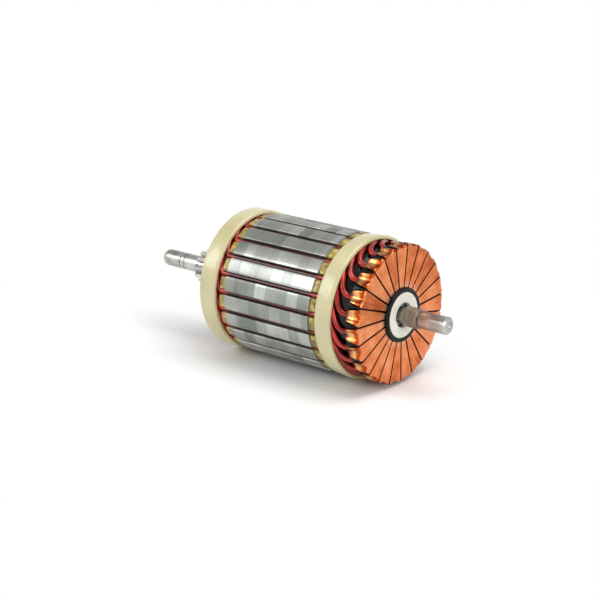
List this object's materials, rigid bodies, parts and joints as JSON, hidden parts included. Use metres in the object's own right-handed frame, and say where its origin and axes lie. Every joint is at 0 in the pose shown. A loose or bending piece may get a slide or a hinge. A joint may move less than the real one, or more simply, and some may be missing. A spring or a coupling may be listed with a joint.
{
  "type": "motor armature",
  "caption": "Wave-wound starter motor armature with a slotted steel core, banded end windings, a flat face commutator and a shaft with a rolled sun pinion.",
  "frame": {"origin": "middle of the shaft's length, on the shaft axis", "axes": "+X along the shaft from the pinion to the commutator's face and the journal beyond it; Y and Z across the shaft, alike"},
  "size_m": [0.1686, 0.066, 0.066],
  "materials": {
    "shaft_steel": "ground journals, turned body",
    "core_steel": "turned lamination edges, lacquered",
    "end_insulation": "varnished fibre board",
    "slot_paper": "insulating paper",
    "band_resin": "cured glass-fibre and resin banding",
    "layer_insulation": "black varnished insulating film",
    "enamelled_copper": "glossy wire enamel",
    "commutator_copper": "face-turned copper",
    "hub_moulding": "moulded phenolic",
    "washer_nylon": "moulded nylon"
  },
  "bodies": {
    "root": {"shaft": "shaft_steel", "core": "core_steel", "drive_end_insulator": "end_insulation", "commutator_end_insulator": "end_insulation", "slot_liners": "slot_paper", "layer_sleeve": "layer_insulation", "drive_end_band": "band_resin", "commutator_end_band": "band_resin", "commutator_hub": "hub_moulding", "collar_washer": "washer_nylon", "coil_01": "enamelled_copper", "coil_02": "enamelled_copper", "coil_03": "enamelled_copper", "coil_04": "enamelled_copper", "coil_05": "enamelled_copper", "coil_06": "enamelled_copper", "coil_07": "enamelled_copper", "coil_08": "enamelled_copper", "coil_09": "enamelled_copper", "coil_10": "enamelled_copper", "coil_11": "enamelled_copper", "coil_12": "enamelled_copper", "coil_13": "enamelled_copper", "coil_14": "enamelled_copper", "coil_15": "enamelled_copper", "coil_16": "enamelled_copper", "coil_17": "enamelled_copper", "coil_18": "enamelled_copper", "coil_19": "enamelled_copper", "coil_20": "enamelled_copper", "coil_21": "enamelled_copper", "coil_22": "enamelled_copper", "coil_23": "enamelled_copper", "segment_01": "commutator_copper", "segment_02": "commutator_copper", "segment_03": "commutator_copper", "segment_04": "commutator_copper", "segment_05": "commutator_copper", "segment_06": "commutator_copper", "segment_07": "commutator_copper", "segment_08": "commutator_copper", "segment_09": "commutator_copper", "segment_10": "commutator_copper", "segment_11": "commutator_copper", "segment_12": "commutator_copper", "segment_13": "commutator_copper", "segment_14": "commutator_copper", "segment_15": "commutator_copper", "segment_16": "commutator_copper", "segment_17": "commutator_copper", "segment_18": "commutator_copper", "segment_19": "commutator_copper", "segment_20": "commutator_copper", "segment_21": "commutator_copper", "segment_22": "commutator_copper", "segment_23": "commutator_copper"}
  },
  "joints": []
}
